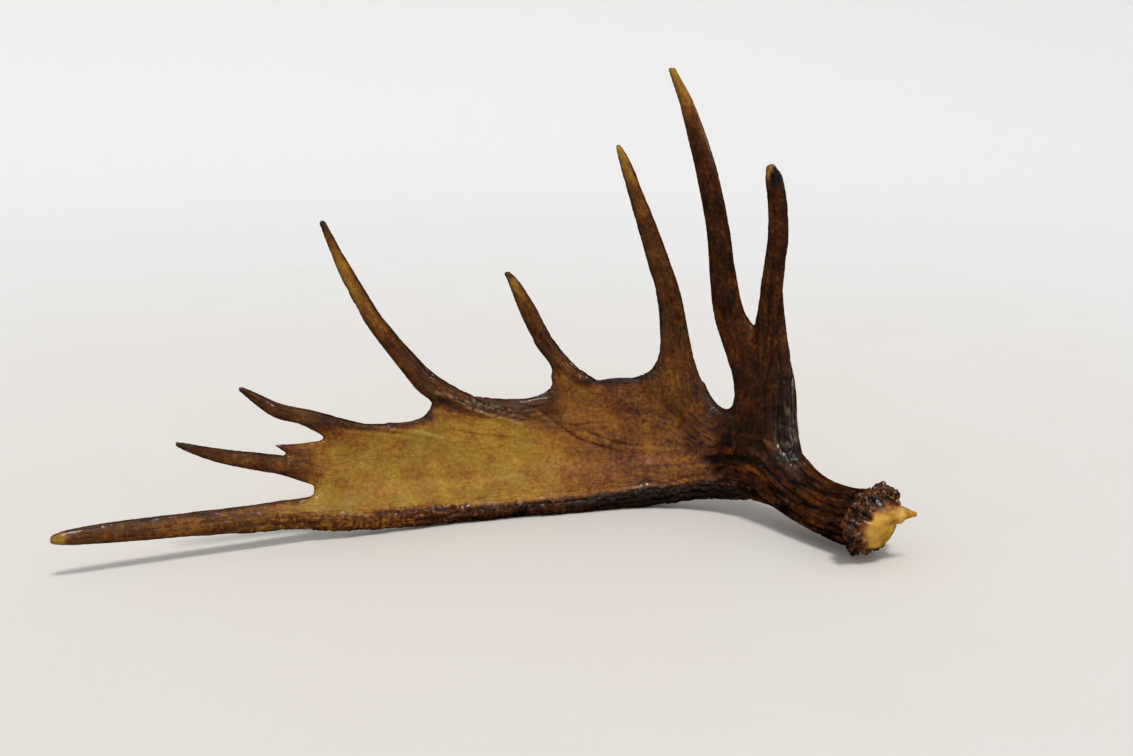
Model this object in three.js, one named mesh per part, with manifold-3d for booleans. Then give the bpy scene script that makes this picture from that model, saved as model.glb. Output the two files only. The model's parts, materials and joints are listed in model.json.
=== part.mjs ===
// A shed moose antler: one grown bone, standing as it rests on its burr and on the lower rim of its palm.
// Millimetres, +Z up. X runs along the palm with the burr at +X, and the hollow side of the palm faces -Y.
// The bone is grown as one body from lofted limbs, then parted by a hair's breadth at its main forks.
import * as THREE from 'three';
import { mergeVertices } from 'three/addons/utils/BufferGeometryUtils.js';
import Module from 'manifold-3d';

const wasm = await Module();
wasm.setup();

// ---- Driving dimensions ----

const FORK_GAP = 0.3; // between two pieces where they part at a fork
const FLOOR_CUT = 0.6; // how much the two resting places are worn flat

const PALM_HALF = 6.2; // half the palm's thickness in its thin middle
const PALM_CUP = 5; // how far the palm's middle stands back from the straight line between its edges
const RIM_FORWARD = 3; // the thick lower rim rolls forward of the palm
const LIMB_HALF = 11.5; // half the depth that a widening tine levels off at
const LIMB_SPREAD = 24; // the width over which it does so
const LIMB_CAP = 0.3; // how far a limb's blunt end rounds out, as a share of its smaller half
const HEADING_STEP = 0.01; // the share of a limb's length over which its heading is read

const BEAM_FLUTES = 9; // lengthwise ridges around the beam
const BEAM_FLUTE = 0.045; // their height, as a share of the beam's radius

const BURR_CENTRE = new THREE.Vector3(319.5, -137, 42.8);
const BURR_AXIS = new THREE.Vector3(0.69, -0.71, -0.15).normalize();
const BURR_RADIUS = 37;
const PEARL_COUNT = 16;
const PEARL_RADIUS = 6.8;
const CREST_ANGLE = 1.2; // where round the burr its pearls stand out furthest, in radians
const CREST_WIDTH = 0.5;
const CREST_REACH = 4.5; // how much further they stand out there
const SEAL_RADIUS = 30;
const SEAL_DOME = 18;
const SEAL_OUT = 6; // how far the seal's middle stands out from the burr's
const SPIKE_ROOT = new THREE.Vector3(335, -148, 50);
const SPIKE_TIP = new THREE.Vector3(365.5, -142, 53);
const SPIKE_RADIUS = 15;
const SPIKE_SUNK = 12; // how far its foot goes into the seal
const SPIKE_FLAT = 0.6; // its thickness as a share of its width

// ---- The two surfaces that the antler grew in ----

// Seen from above the palm is a long shallow arc, and the beam turns sharply forward from its end: [x, y].
const PLAN = [
  [-540, -218], [-400, -148], [-290, -94], [-200, -52], [-105, -14], [0, 15], [62, 31],
  [120, 34], [180, 14], [215, -10], [240, -34], [262, -62], [297, -112], [330, -150],
];
const planCurve = new THREE.CubicInterpolant(PLAN.map((p) => p[0]), PLAN.map((p) => p[1]), 1);

// The palm and its tines lean back as they rise, less and less.
function palmDepth(x, z) {
  const plan = planCurve.evaluate(THREE.MathUtils.clamp(x, -540, 330))[0];
  return plan + 0.26 * z - 0.0006 * z * z;
}

// The brow branch leaves the same surface at the fork, turns less sharply forward, and bows forward
// with height.
function browDepth(x, z) {
  const own = 34 - 0.5 * (x - 180) - 0.0003 * Math.max(z - 90, 0) ** 2;
  return THREE.MathUtils.lerp(palmDepth(x, z), own, THREE.MathUtils.smoothstep(z, 60, 200));
}

// ---- Limbs ----

// A limb is a loft through cross-sections. A row gives the two edges of one section, seen from the front:
// [x, z of one edge, x, z of the other, how far it stands forward, half its depth].
// Without a half depth the section is an oval that flattens as it widens.
function limb({ rows, depth = palmDepth, sides = 12, rings = 14, power = 2, cup = 0, flutes = 0 }) {
  const first = [];
  const second = [];
  const depths = [];
  for (const [x1, z1, x2, z2, forward = 0, half] of rows) {
    const a = new THREE.Vector3(x1, depth(x1, z1) - forward, z1);
    const b = new THREE.Vector3(x2, depth(x2, z2) - forward, z2);
    const oval = LIMB_HALF * (1 - Math.exp(-a.distanceTo(b) / LIMB_SPREAD));
    first.push(a);
    second.push(b);
    depths.push(new THREE.Vector3(half ?? oval, 0, 0));
  }
  const edgeA = new THREE.CatmullRomCurve3(first);
  const edgeB = new THREE.CatmullRomCurve3(second);
  const halves = new THREE.CatmullRomCurve3(depths);
  const middle = (t) => edgeA.getPoint(t).add(edgeB.getPoint(t)).multiplyScalar(0.5);
  const heading = (t) => {
    const ahead = middle(Math.min(t + HEADING_STEP, 1));
    return ahead.sub(middle(Math.max(t - HEADING_STEP, 0))).normalize();
  };

  // A sphere's own grid is bent onto the sections, with its poles as the two rounded ends.
  const geometry = new THREE.SphereGeometry(1, sides, rings);
  const position = geometry.attributes.position;
  for (let ring = 0; ring <= rings; ring++) {
    const t = THREE.MathUtils.clamp((ring - 1) / (rings - 2), 0, 1);
    const across = edgeB.getPoint(t).sub(edgeA.getPoint(t)).multiplyScalar(0.5);
    const along = heading(t);
    const normal = along.clone().cross(across).normalize();
    const back = normal.y > 0 ? 1 : -1;
    const half = halves.getPoint(t).x;
    for (let side = 0; side <= sides; side++) {
      const angle = (side / sides) * 2 * Math.PI;
      const flute = 1 + BEAM_FLUTE * flutes * Math.cos(BEAM_FLUTES * angle + 3 * t);
      const u = -Math.sign(Math.cos(angle)) * Math.abs(Math.cos(angle)) ** (2 / power) * flute;
      const v = Math.sign(Math.sin(angle)) * Math.abs(Math.sin(angle)) ** (2 / power) * flute;
      const point = middle(t);
      if (ring === 0 || ring === rings) {
        point.addScaledVector(along, (ring === 0 ? -LIMB_CAP : LIMB_CAP) * Math.min(half, across.length()));
      } else {
        point.addScaledVector(across, u);
        point.addScaledVector(normal, v * half + back * cup * (1 - u * u));
      }
      position.setXYZ(ring * (sides + 1) + side, point.x, point.y, point.z);
    }
  }
  return solid(geometry);
}

// The closed solid of a geometry, for joining and cutting.
function solid(geometry) {
  geometry.deleteAttribute('normal');
  geometry.deleteAttribute('uv');
  const welded = mergeVertices(geometry, 0.0005);
  return new wasm.Manifold(new wasm.Mesh({
    numProp: 3,
    vertProperties: new Float32Array(welded.attributes.position.array),
    triVerts: new Uint32Array(welded.index.array),
  }));
}

// ---- The palm: a cupped plate, its rolled lower rim, and ribs that run out to the tines ----

const palmPlate = limb({
  rows: [
    [198, 24, 206, 110, 0, 17],
    [165, 18, 180, 115, 0, 14.5],
    [130, 12, 148, 124, 0, 10],
    [96, 8, 106, 144, 0, 7.5],
    [52, 6, 60, 149, 0, PALM_HALF],
    [-1, 6, 6, 143, 0, PALM_HALF],
    [-64, 6, -61, 128, 0, PALM_HALF],
    [-120, 7, -113, 122, 0, PALM_HALF],
    [-174, 9, -171, 116, 0, PALM_HALF],
    [-222, 12, -220, 112, 0, PALM_HALF],
    [-254, 15, -254, 104, 0, 6],
    [-270, 24, -270, 93, 0, 5.5],
  ],
  sides: 16, rings: 15, power: 2.7, cup: PALM_CUP,
});

const lowerRim = limb({
  rows: [
    [206, 20, 210, 60, 0, 19],
    [176, 15.5, 178, 52, RIM_FORWARD, 17],
    [146, 11, 148, 46, RIM_FORWARD, 15.5],
    [106, 3, 108, 36, RIM_FORWARD, 14.5],
    [62, -FLOOR_CUT, 62, 30, RIM_FORWARD, 13.5],
    [0, -FLOOR_CUT, 0, 28, RIM_FORWARD, 13],
    [-60, -FLOOR_CUT, -60, 27, RIM_FORWARD, 12.5],
    [-120, 1, -120, 28, RIM_FORWARD, 12],
    [-175, 2.5, -175, 31, RIM_FORWARD, 11.5],
    [-228, 6.5, -227, 36, RIM_FORWARD, 11.5],
    [-262, 10.5, -261, 41, 0.5, 9.5],
    [-290, 16, -290, 45, 0, 7],
  ],
  sides: 12, rings: 15,
});

// The palm's face slopes forward onto the rim.
const rimSlope = limb({
  rows: [
    [160, 14, 164, 74, 1, 15], [106, 8, 108, 66, 1, 12.5], [62, 6, 62, 62, 1, 12], [0, 5, 0, 60, 1, 12],
    [-60, 5, -60, 58, 1, 11.5], [-120, 6, -120, 56, 1, 11], [-175, 8, -175, 54, 1, 10],
    [-228, 12, -227, 52, 0.5, 9], [-262, 16, -262, 50, 0, 6],
  ],
  sides: 8, rings: 11, power: 1.35,
});

// Each rib runs from the fork to the foot of a tine, and is a low swelling on both faces: [x, z] along it.
const RIB_STAND = 2.6;
const RIB_HALF_WIDTH = 12;
const ribPaths = [
  [[185, 62], [130, 84], [80, 104], [40, 118]],
  [[190, 54], [120, 68], [40, 82], [-30, 97], [-84, 110]],
  [[120, 52], [40, 62], [-60, 76], [-140, 92], [-205, 102]],
  [[60, 44], [-60, 54], [-150, 64], [-240, 72]],
];
const RIB_END = 4.6; // half a rib's thickness where it sinks into the palm
const ribs = ribPaths.map((path) => limb({
  rows: path.map(([x, z], step) => {
    const half = step === 0 || step === path.length - 1 ? RIB_END : PALM_HALF + RIB_STAND;
    return [x, z - RIB_HALF_WIDTH, x, z + RIB_HALF_WIDTH, -0.8 * PALM_CUP, half];
  }),
  sides: 8, rings: 7,
}));

const nub = limb({
  rows: [
    [-236, 80, -236, 107, -4, 4.5], [-262, 90, -262, 106.5, -1.5, 5], [-284, 94, -284, 107],
    [-298, 97, -298, 108], [-310, 105.5, -310, 109.5],
  ],
  sides: 8, rings: 8,
});

// ---- Tines of the palm ----

const palmTine1 = limb({
  rows: [
    [160, 48, 208, 44, -3, 6], [136, 78, 206, 68, -3, 8.5], [110, 110, 194, 96, -2, 9],
    [92, 136, 178, 113, 0, 10], [98, 154, 159, 139], [106, 171, 147, 169], [107, 203, 139, 204],
    [103, 243, 130, 246, 2], [87, 297, 111, 301, 5], [71, 353, 88, 358, 8],
    [58.5, 396, 69.5, 400, 12], [53.5, 415, 59.5, 417.5, 14],
  ],
  rings: 16,
});

const palmTine2 = limb({
  rows: [
    [38, 52, 85, 61, -5, 4.5], [4, 89, 64, 99, -4.5, 5.8], [-20, 122, 40, 141, -2, 7.5],
    [-14, 141, 24, 155, 0, 9], [-17, 164, 6, 170],
    [-35, 193, -15, 199, 2], [-53, 234, -37, 241, 5], [-64.5, 266, -55, 272, 8], [-69, 276, -62, 279, 8],
  ],
});

const palmTine3 = limb({
  rows: [
    [-70, 78, -8, 92, -5, 4.5], [-128, 104, -46, 119, -4, 6], [-152, 118, -88, 132, -1, 8],
    [-150, 134, -119, 147], [-166, 152, -147, 168], [-191, 190, -173, 199, 3], [-218, 235, -201, 241, 7],
    [-239, 285, -226, 290, 11], [-250, 320, -240, 323, 14], [-257, 346, -251, 348.5, 16],
  ],
  rings: 14,
});

const palmTine4 = limb({
  rows: [
    [-163, 80, -141, 108, -5, 4.5], [-216, 88, -189, 115, -4, 6], [-252, 97, -226, 122, -1, 7.5],
    [-265, 113, -251, 132],
    [-286, 128, -280, 144, 1], [-311, 139, -304, 153, 3], [-332, 159, -325, 167, 6],
    [-344, 173, -340, 177, 8],
  ],
  sides: 10,
});

const palmTine5 = limb({
  rows: [
    [-212, 38, -206, 88, -5, 4.5], [-246, 46, -240, 94, -3.5, 5.5], [-276, 60, -273, 95, -1, 6.5],
    [-302, 74, -300, 96], [-332, 85, -329, 104, 1], [-365, 98, -362, 113, 4], [-392, 113, -391, 123.5, 7],
    [-404.5, 122, -403.5, 127.5, 8],
  ],
  sides: 10,
});

const terminalTine = limb({
  rows: [
    [-206, 5, -206, 38], [-258, 11, -257, 42], [-298, 16.5, -298, 49], [-347, 20.5, -347, 48.5],
    [-395, 25, -395, 50.5], [-450, 29.5, -450, 51.5], [-486, 32.5, -486, 51.5], [-512, 36, -511, 50],
    [-520, 38, -519.5, 47.5],
  ],
});

// ---- The brow branch: a thick small palm with a tall tine and a short hollow-tipped one ----

const browPalm = limb({
  rows: [
    [207, 46, 258, 77, 0, 22], [198, 68, 255.5, 92, 0, 21], [193, 93, 254, 115, 0, 20],
    [192.5, 115, 254, 139, 0, 18], [192, 137, 252, 158, 0, 16], [189, 158, 250, 175, 0, 14],
    [181, 181, 247, 191, 0, 12], [176.5, 204, 243, 212, 0, 7.5],
  ],
  depth: browDepth, sides: 16, rings: 12, power: 2.4,
});

const browTineTall = limb({
  rows: [
    [197, 108, 236, 116], [193, 129, 234, 136], [187, 163, 226, 171], [175, 198, 216, 206],
    [166, 229, 198, 235], [161, 266, 189, 271], [157, 312, 181, 316], [148, 361, 171, 365],
    [136, 412, 156, 415], [122, 463, 136, 466], [110, 498, 116.5, 500.5],
  ],
  depth: browDepth, rings: 16,
});

const browTineShort = limb({
  rows: [
    [206, 108, 250, 118], [206, 131, 252, 140], [207, 169, 250, 175], [209, 202, 244, 208],
    [213, 248, 238, 251], [216, 285, 238, 287], [219, 321, 240, 323], [218, 357, 237, 361],
    [214, 383, 231, 388], [213.5, 395, 222.5, 400],
  ],
  depth: browDepth, rings: 14,
});

// ---- Webs: the bone rounds out the bays between the tines ----

const webRows = [
  [
    [-258, 88, -294, 73.5, 0, 5.5], [-248, 72, -276, 66.5, 0, 5.5], [-244, 58, -269, 58.5, 0, 5.5],
    [-248, 46, -275, 50.5, 0, 6], [-258, 34, -292, 48, 0, 7],
  ],
  [
    [-262, 134, -284, 128.5, 0, 4.5], [-250, 124, -268, 120, 0, 5], [-246, 113, -262, 113.5, 0, 5],
    [-250, 103, -266, 108, 0, 5], [-262, 100, -280, 107.5, 0, 4.5],
  ],
  [
    [-200, 118.5, -192, 98, 0, 5.5], [-176, 117, -166, 94, 0, 6], [-160, 121, -140, 102, 0, 6.5],
    [-152, 129.5, -128, 120, 0, 7], [-151, 141, -126, 143, 0, 7.5], [-156, 150, -138, 158, 0, 6],
  ],
  [
    [-112, 141, -106, 118, 0, 5.5], [-90, 135.5, -86, 110, 0, 6], [-64, 132.5, -62, 106, 0, 6],
    [-42, 132.5, -38, 106, 0, 6], [-25, 136.5, -10, 112, 0, 6.5], [-16, 145, 8, 130, 0, 7],
    [-17, 156, 4, 156, 0, 6.5],
  ],
  [
    [66, 147.5, 68, 124, 0, 6], [82, 149.5, 92, 126, 0, 6.5], [95, 155, 112, 138, 0, 7.5],
    [104, 166, 128, 156, 0, 8.5], [107.5, 180, 132, 178, 0, 8],
  ],
  [
    [158, 145, 140, 128, 0, 8], [167, 127.5, 152, 106, 0, 10], [176, 118.5, 172, 96, 0, 11.5],
    [184, 117, 192, 95, 0, 12.5], [190, 122.5, 210, 108, 0, 13], [192.5, 136, 214, 132, 0, 12],
  ],
];
const webs = webRows.map((rows) => limb({ rows, sides: 8, rings: 7 }));

// ---- The beam, its burr with a crown of pearls, and the bone seal it was shed from ----

const beamShaft = limb({
  rows: [
    [304, 7, 322, 73, 0, 27], [288, 7.5, 304, 67, 0, 26], [271, 9, 284, 66, 0, 26],
    [254, 13.5, 266, 71.5, 0, 27], [236, 19.5, 252.5, 86, 0, 27], [213, 23, 242, 104, 0, 25],
    [180, 20, 216, 110, 0, 19.5], [150, 18, 184, 104, -2, 9],
  ],
  sides: 27, rings: 11, flutes: 1,
});

// Turns a shape whose own axis is +Z onto the burr's axis, with its middle at a point.
const burrTurn = new THREE.Quaternion().setFromUnitVectors(new THREE.Vector3(0, 0, 1), BURR_AXIS);
function ontoBurr(geometry, along) {
  geometry.applyQuaternion(burrTurn);
  const centre = BURR_CENTRE.clone().addScaledVector(BURR_AXIS, along);
  return solid(geometry.translate(centre.x, centre.y, centre.z));
}

// The burr flares from the beam to a rounded flange, then turns in to the seal.
const burrProfile = [[0, -20], [25, -20], [29, -11], [35, -5], [BURR_RADIUS, 1], [34, 7], [26, 9], [0, 9]];
const burrOutline = burrProfile.map(([radius, along]) => new THREE.Vector2(radius, along));
const burrFlange = ontoBurr(new THREE.LatheGeometry(burrOutline, 18).rotateX(Math.PI / 2), 0);

const pearls = [];
for (let i = 0; i < PEARL_COUNT; i++) {
  const angle = (i / PEARL_COUNT) * 2 * Math.PI;
  const crowded = Math.exp(-(((angle - CREST_ANGLE) / CREST_WIDTH) ** 2));
  const size = PEARL_RADIUS * (1 + 0.16 * Math.sin(5 * angle + 1) + 0.15 * crowded);
  const reach = BURR_RADIUS + 1.2 * Math.cos(7 * angle) + CREST_REACH * crowded;
  const pearl = new THREE.IcosahedronGeometry(size, 1);
  pearl.translate(reach * Math.cos(angle), reach * Math.sin(angle), i % 2 === 0 ? -3 : 3.5);
  pearls.push(ontoBurr(pearl, 0));
}

const seal = ontoBurr(
  new THREE.SphereGeometry(1, 14, 8).scale(SEAL_RADIUS, SEAL_RADIUS, SEAL_DOME),
  SEAL_OUT,
);

// A splinter of skull bone left standing on the seal's edge.
const spikeLine = SPIKE_TIP.clone().sub(SPIKE_ROOT);
const spikeLength = spikeLine.length() + SPIKE_SUNK;
spikeLine.normalize();
const spikeShape = new THREE.ConeGeometry(SPIKE_RADIUS, spikeLength, 9, 2).scale(1, 1, SPIKE_FLAT);
spikeShape.applyQuaternion(new THREE.Quaternion().setFromUnitVectors(new THREE.Vector3(0, 1, 0), spikeLine));
const spikeMiddle = SPIKE_TIP.clone().addScaledVector(spikeLine, -0.5 * spikeLength);
const spike = solid(spikeShape.translate(spikeMiddle.x, spikeMiddle.y, spikeMiddle.z));

// ---- The whole bone, worn flat where it rests ----

let bone = palmPlate;
const limbs = [
  lowerRim, rimSlope, ...ribs, ...webs, nub, palmTine1, palmTine2, palmTine3, palmTine4, palmTine5,
  terminalTine, browPalm, browTineTall, browTineShort, beamShaft, burrFlange, ...pearls, seal, spike,
];
for (const grown of limbs) {
  bone = bone.add(grown);
}
const ground = new THREE.BoxGeometry(1400, 800, 100).translate(0, 0, -50);
bone = bone.subtract(solid(ground));

// ---- Forks: each piece is what lies beyond its cut ----

// cut: the line across the limb, seen from the front.
// beyond: the far corners of the room that holds the piece.
const FORKS = [
  { name: 'brow_tine_long', cut: [[156, 205], [209, 224]], beyond: [[206, 520], [80, 520]] },
  { name: 'brow_tine_short', cut: [[209, 224], [256, 217]], beyond: [[268, 420], [205, 420]] },
  { name: 'brow_palm', cut: [[183, 119.5], [268, 111]], beyond: [[268, 240], [166, 240]] },
  { name: 'palm_tine_1', cut: [[94, 186], [154, 187]], beyond: [[96, 430], [30, 430]] },
  { name: 'palm_tine_2', cut: [[-34, 165], [18, 177]], beyond: [[-30, 300], [-96, 300]] },
  { name: 'palm_tine_3', cut: [[-184, 150], [-135, 174]], beyond: [[-220, 370], [-300, 370]] },
  { name: 'palm_tine_4', cut: [[-281, 117.5], [-267, 152]], beyond: [[-350, 200], [-370, 150]] },
  { name: 'palm_tine_5', cut: [[-314, 62], [-312, 105]], beyond: [[-420, 150], [-420, 80]] },
  { name: 'terminal_tine', cut: [[-286, 4], [-285, 60]], beyond: [[-560, 72], [-560, 4]] },
  {
    name: 'main_palm', cut: [[197, 6], [182, 118]],
    beyond: [[176, 260], [-340, 260], [-340, -40], [196, -40]],
  },
];

// The room beyond a cut, moved back towards the root by a distance. It is deeper than the whole antler.
const ROOM_DEPTH = 600;
const ROOM_BACK = 200;
function room({ cut, beyond }, moved) {
  const [[x1, z1], [x2, z2]] = cut;
  const length = Math.hypot(x2 - x1, z2 - z1);
  const side = Math.sign((x2 - x1) * (beyond[0][1] - z1) - (z2 - z1) * (beyond[0][0] - x1));
  const outline = [...cut, ...beyond].map(([x, z]) => new THREE.Vector2(x, z));
  const shape = new THREE.Shape(outline);
  const block = new THREE.ExtrudeGeometry(shape, { depth: ROOM_DEPTH, bevelEnabled: false });
  block.rotateX(Math.PI / 2);
  const back = (moved * side) / length;
  return solid(block.translate((z2 - z1) * back, ROOM_BACK, -(x2 - x1) * back));
}

const pieces = [];
for (const fork of FORKS) {
  pieces.push({ name: fork.name, body: bone.intersect(room(fork, 0)) });
  bone = bone.subtract(room(fork, 0)).subtract(room(fork, FORK_GAP));
}
pieces.push({ name: 'beam', body: bone });

// ---- Finish and assembly ----

const COLOURS = {
  beam: 0x4a2815,
  brow_palm: 0x5c3214,
  brow_tine_long: 0x6e4a22,
  brow_tine_short: 0x3c2314,
  main_palm: 0x93762f,
  terminal_tine: 0x66401d,
};
const TINE_COLOUR = 0x6a4520;
const VARNISH = 0.35;

const antler = new THREE.Group();
const box = new THREE.Box3();
for (const { name, body } of pieces) {
  const mesh = body.getMesh();
  const geometry = new THREE.BufferGeometry();
  geometry.setAttribute('position', new THREE.BufferAttribute(mesh.vertProperties, 3));
  geometry.setIndex(new THREE.BufferAttribute(mesh.triVerts, 1));
  geometry.computeVertexNormals();
  const color = COLOURS[name] ?? TINE_COLOUR;
  const material = new THREE.MeshStandardMaterial({ color, roughness: VARNISH });
  const part = new THREE.Mesh(geometry, material);
  part.name = name;
  antler.add(part);
  box.expandByObject(part);
}

// The origin is under the middle of the whole antler, on the surface it stands on.
antler.position.set(-(box.min.x + box.max.x) / 2, -(box.min.y + box.max.y) / 2, -box.min.z);

export default antler;
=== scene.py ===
import json

import bpy
import numpy as np
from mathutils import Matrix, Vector, noise
from mathutils.bvhtree import BVHTree

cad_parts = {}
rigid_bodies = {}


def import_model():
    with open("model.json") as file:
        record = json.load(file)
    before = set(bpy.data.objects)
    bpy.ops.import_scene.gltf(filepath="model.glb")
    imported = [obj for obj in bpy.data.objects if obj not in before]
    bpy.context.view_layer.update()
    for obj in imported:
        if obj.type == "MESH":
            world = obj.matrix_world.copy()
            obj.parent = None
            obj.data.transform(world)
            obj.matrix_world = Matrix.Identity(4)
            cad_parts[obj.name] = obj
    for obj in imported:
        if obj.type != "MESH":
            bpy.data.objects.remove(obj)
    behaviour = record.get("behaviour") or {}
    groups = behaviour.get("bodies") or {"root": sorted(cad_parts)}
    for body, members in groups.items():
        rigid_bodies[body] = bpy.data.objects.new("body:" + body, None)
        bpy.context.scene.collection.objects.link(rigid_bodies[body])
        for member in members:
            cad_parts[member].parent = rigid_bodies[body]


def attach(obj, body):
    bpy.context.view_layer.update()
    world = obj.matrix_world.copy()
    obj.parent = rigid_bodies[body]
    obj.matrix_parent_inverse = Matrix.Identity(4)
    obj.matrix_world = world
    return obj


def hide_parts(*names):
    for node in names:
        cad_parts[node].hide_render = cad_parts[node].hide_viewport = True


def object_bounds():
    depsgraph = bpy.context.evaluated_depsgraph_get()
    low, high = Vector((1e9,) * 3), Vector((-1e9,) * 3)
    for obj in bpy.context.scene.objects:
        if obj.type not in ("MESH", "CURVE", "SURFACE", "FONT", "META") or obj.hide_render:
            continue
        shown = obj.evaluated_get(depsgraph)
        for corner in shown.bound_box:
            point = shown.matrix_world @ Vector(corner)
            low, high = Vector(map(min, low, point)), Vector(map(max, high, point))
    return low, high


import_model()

cad_box = [list(corner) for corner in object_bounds()]

# ---- The two surfaces the antler grew in ----
# A moose antler spreads in one long shallow bowl. Its palm and tines follow one curved sheet, and the brow
# branch leaves that sheet at the fork. Plans are in millimetres, with X = 0 at the middle of the palm's foot.

FOOT = np.array([77.969, 66.204, 0.0])  # from those plans to the frame's origin, under the antler's middle
arc_x = np.array([-540, -400, -290, -200, -105, 0, 62, 120, 180, 215, 240, 262, 297, 330], float)
arc_y = np.array([-218, -148, -94, -52, -14, 15, 31, 34, 14, -10, -34, -62, -112, -150], float)


def palm_depth(x, z):
    """How far back the palm's sheet stands. It leans back as it rises, less and less."""
    x = np.clip(x, arc_x[0], arc_x[-1])
    here = np.clip(np.searchsorted(arc_x, x, side="right"), 1, len(arc_x) - 1)
    before = np.where(here == 1, here, here - 2)
    after = np.where(here == len(arc_x) - 1, here - 1, np.minimum(here + 1, len(arc_x) - 1))
    x0, x1 = arc_x[here - 1], arc_x[here]
    pull = 0.5 * (x1 - x0) / (x0 - arc_x[before])
    push = 0.5 * (x1 - x0) / (arc_x[after] - x1)
    p = (x - x0) / (x1 - x0)
    plan = (-pull * p**3 + 2 * pull * p**2 - pull * p) * arc_y[before]
    plan += ((1 + pull) * p**3 + (-1.5 - 2 * pull) * p**2 + (-0.5 + pull) * p + 1) * arc_y[here - 1]
    plan += ((-1 - push) * p**3 + (1.5 + push) * p**2 + 0.5 * p) * arc_y[here]
    plan += (push * p**3 - push * p**2) * arc_y[after]
    return plan + 0.26 * z - 0.0006 * z * z


def ease(value, low, high):
    """0 below low, 1 above high, and a smooth way between."""
    t = np.clip((value - low) / (high - low), 0, 1)
    return t * t * (3 - 2 * t)


def brow_depth(x, z):
    """The brow branch turns less sharply forward than the sheet, and bows forward with height."""
    own = 34 - 0.5 * (x - 180) - 0.0003 * np.maximum(z - 90, 0) ** 2
    share = ease(z, 60, 200)
    return palm_depth(x, z) * (1 - share) + own * share


# ---- Limbs ----
# Each limb of the antler is one growth of bone: a smooth run of oval sections between two edge lines.
# A section is [x, z of one edge, x, z of the other, how far it stands forward, half its depth].


def through(points, t):
    """A smooth line through points, at shares t of its way."""
    points = np.asarray(points, float)
    line = np.vstack([2 * points[0] - points[1], points, 2 * points[-1] - points[-2]])
    p = (len(points) - 1) * t
    i = np.minimum(p.astype(int), len(points) - 2)
    w = (p - i)[:, None]
    a, b, c, d = (line[i + k] for k in range(4))

    def step(first, second, spare):
        gap = ((second - first) ** 2).sum(1) ** 0.25
        return np.where(gap < 1e-4, spare, gap)

    bc = step(b, c, 1.0)
    ab = step(a, b, bc)
    cd = step(c, d, bc)
    ab, bc, cd = ab[:, None], bc[:, None], cd[:, None]
    leave = ((b - a) / ab - (c - a) / (ab + bc) + (c - b) / bc) * bc
    arrive = ((c - b) / bc - (d - b) / (bc + cd) + (d - c) / cd) * bc
    bend = -3 * b + 3 * c - 2 * leave - arrive
    turn = 2 * b - 2 * c + leave + arrive
    return b + leave * w + bend * w**2 + turn * w**3


def ring_faces(rings, sides, inward=False):
    """Four-sided faces between rings of points."""
    faces = []
    for r in range(rings - 1):
        a, b = r * sides, (r + 1) * sides
        for s in range(sides):
            n = (s + 1) % sides
            if inward:
                faces.append((a + s, b + s, b + n, a + n))
            else:
                faces.append((a + s, a + n, b + n, b + s))
    return faces


BROAD_HALF = 11.5  # half the depth of a broad oval section; a narrow one is thinner
RING_STEP = 2.5  # along a limb, from one ring of points to the next
limbs = {}


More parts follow.
